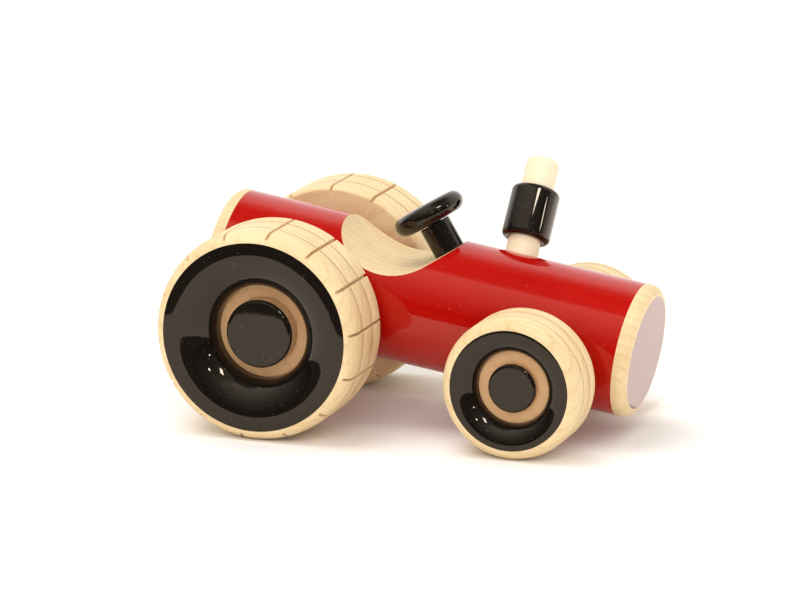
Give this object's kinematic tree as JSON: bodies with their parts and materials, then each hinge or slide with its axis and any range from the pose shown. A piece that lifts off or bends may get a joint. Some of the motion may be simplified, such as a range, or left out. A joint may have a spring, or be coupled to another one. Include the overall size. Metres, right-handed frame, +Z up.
{
  "type": "toy tractor",
  "caption": "Push-along toy tractor of turned wood: red log body with a seat scoop, free-rolling dished wheels, turning steering wheel and leaning exhaust.",
  "frame": {"origin": "on the floor, half way between the two axles and on the centre line, which is the bottom centre of the bounding box", "axes": "+X towards the nose, +Y to the tractor's left, +Z up"},
  "size_m": [0.198, 0.1348, 0.1092],
  "materials": {
    "red_lacquer": "high gloss lacquer over turned wood",
    "natural_wood": "smooth bare pale hardwood, lightly waxed",
    "black_lacquer": "high gloss lacquer over turned wood",
    "hub_wood": "bare wood, slightly darker"
  },
  "bodies": {
    "chassis": {"body": "red_lacquer", "rear_axle": "natural_wood", "front_axle": "natural_wood", "rear_hub_cap_left": "black_lacquer", "rear_hub_cap_right": "black_lacquer", "rear_spacer_left": "natural_wood", "rear_spacer_right": "natural_wood", "front_hub_cap_left": "black_lacquer", "front_hub_cap_right": "black_lacquer", "front_spacer_left": "natural_wood", "front_spacer_right": "natural_wood", "exhaust_stack": "natural_wood", "exhaust_sleeve": "black_lacquer", "steering_column": "black_lacquer"},
    "rear_left_wheel": {"rear_wheel_left": "natural_wood", "rear_hub_washer_left": "hub_wood"},
    "rear_right_wheel": {"rear_wheel_right": "natural_wood", "rear_hub_washer_right": "hub_wood"},
    "front_left_wheel": {"front_wheel_left": "natural_wood", "front_hub_washer_left": "hub_wood"},
    "front_right_wheel": {"front_wheel_right": "natural_wood", "front_hub_washer_right": "hub_wood"},
    "steering": {"steering_wheel": "black_lacquer", "steering_pin": "natural_wood"}
  },
  "joints": [
    {"name": "rear_left_spin", "type": "hinge", "parent": "chassis", "child": "rear_left_wheel", "pos_m": [-0.0545, 0, 0.0445], "axis": [0, 1, 0], "continuous": true},
    {"name": "rear_right_spin", "type": "hinge", "parent": "chassis", "child": "rear_right_wheel", "pos_m": [-0.0545, 0, 0.0445], "axis": [0, 1, 0], "continuous": true},
    {"name": "front_left_spin", "type": "hinge", "parent": "chassis", "child": "front_left_wheel", "pos_m": [0.0545, 0, 0.03], "axis": [0, 1, 0], "continuous": true},
    {"name": "front_right_spin", "type": "hinge", "parent": "chassis", "child": "front_right_wheel", "pos_m": [0.0545, 0, 0.03], "axis": [0, 1, 0], "continuous": true},
    {"name": "steering_turn", "type": "hinge", "parent": "chassis", "child": "steering", "pos_m": [0.00849, 0, 0.0724], "axis": [-0.524, 0, 0.8517], "continuous": true}
  ]
}
